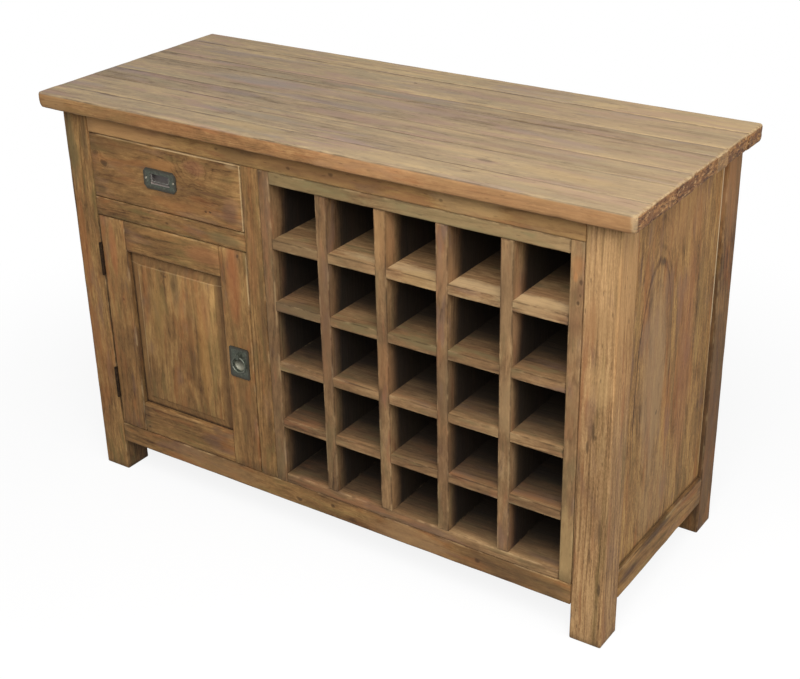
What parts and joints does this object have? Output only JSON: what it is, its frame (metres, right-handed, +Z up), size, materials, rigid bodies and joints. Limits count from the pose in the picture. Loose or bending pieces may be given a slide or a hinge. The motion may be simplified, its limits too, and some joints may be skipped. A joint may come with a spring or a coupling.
{
  "type": "sideboard with bottle rack",
  "caption": "Reclaimed-wood sideboard: plank top on square legs, a drawer over a panelled door with flush pulls, and an open grid of bottle cells.",
  "frame": {"origin": "on the floor, under the middle of the top", "axes": "+Z up; +X along the front, to the right as seen from the front; +Y from the front to the back"},
  "size_m": [1.213, 0.495, 0.8],
  "materials": {
    "top_teak": "matt weathered teak, brushed",
    "frame_teak": "matt oiled reclaimed teak",
    "panel_teak": "matt oiled reclaimed teak, figured",
    "rack_teak": "matt oiled reclaimed teak",
    "inner_teak": "planed, unfinished",
    "pewter": "darkened, matt antique",
    "dark_iron": "blackened",
    "bright_steel": "bright, polished heads"
  },
  "bodies": {
    "carcass": {"back_panel": "inner_teak", "cupboard_floor": "inner_teak", "door_stop": "inner_teak", "drawer_rail": "frame_teak", "drawer_runner_left": "inner_teak", "drawer_runner_right": "inner_teak", "front_bottom_rail": "frame_teak", "front_top_rail": "frame_teak", "leg_front_left": "frame_teak", "leg_front_right": "frame_teak", "leg_rear_left": "frame_teak", "leg_rear_right": "frame_teak", "lower_hinge_frame_leaf": "dark_iron", "lower_hinge_pin": "dark_iron", "middle_stile": "frame_teak", "rack_divider_1": "rack_teak", "rack_divider_2": "rack_teak", "rack_divider_3": "rack_teak", "rack_divider_4": "rack_teak", "rack_floor": "rack_teak", "rack_shelf_1": "rack_teak", "rack_shelf_2": "rack_teak", "rack_shelf_3": "rack_teak", "rack_shelf_4": "rack_teak", "rack_side_left": "frame_teak", "rack_side_right": "frame_teak", "rack_top": "frame_teak", "rear_bottom_rail": "frame_teak", "rear_top_rail": "frame_teak", "side_panel_left": "panel_teak", "side_panel_right": "panel_teak", "side_rail_left": "frame_teak", "side_rail_right": "frame_teak", "top_board_1": "top_teak", "top_board_2": "top_teak", "top_board_3": "top_teak", "top_board_4": "top_teak", "top_board_5": "top_teak", "top_board_6": "top_teak", "top_board_7": "top_teak", "upper_hinge_frame_leaf": "dark_iron", "upper_hinge_pin": "dark_iron"},
    "drawer": {"drawer_front": "panel_teak", "drawer_side_left": "inner_teak", "drawer_side_right": "inner_teak", "drawer_back": "inner_teak", "drawer_bottom": "inner_teak", "drawer_pull_plate": "pewter", "drawer_pull_screw_left": "bright_steel", "drawer_pull_screw_right": "bright_steel"},
    "drawer_bail": {"drawer_pull_bail": "pewter"},
    "door": {"door_stile_left": "frame_teak", "door_stile_right": "frame_teak", "door_rail_top": "frame_teak", "door_rail_bottom": "frame_teak", "door_panel": "panel_teak", "upper_hinge_door_leaf": "dark_iron", "lower_hinge_door_leaf": "dark_iron", "door_pull_plate": "pewter"},
    "door_ring": {"door_pull_ring": "pewter"}
  },
  "joints": [
    {"name": "drawer_slide", "type": "slide", "parent": "carcass", "child": "drawer", "axis": [0, -1, 0], "range_m": [0, 0.3]},
    {"name": "door_hinge", "type": "hinge", "parent": "carcass", "child": "door", "pos_m": [-0.5125, -0.2228, 0.3395], "axis": [0, 0, -1], "range_deg": [0, 170]},
    {"name": "drawer_bail_lift", "type": "hinge", "parent": "drawer", "child": "drawer_bail", "pos_m": [-0.34075, -0.2193, 0.67475], "axis": [-1, 0, 0], "range_deg": [0, 90]},
    {"name": "door_ring_lift", "type": "hinge", "parent": "door", "child": "door_ring", "pos_m": [-0.1835, -0.224, 0.352], "axis": [-1, 0, 0], "range_deg": [0, 90]}
  ]
}
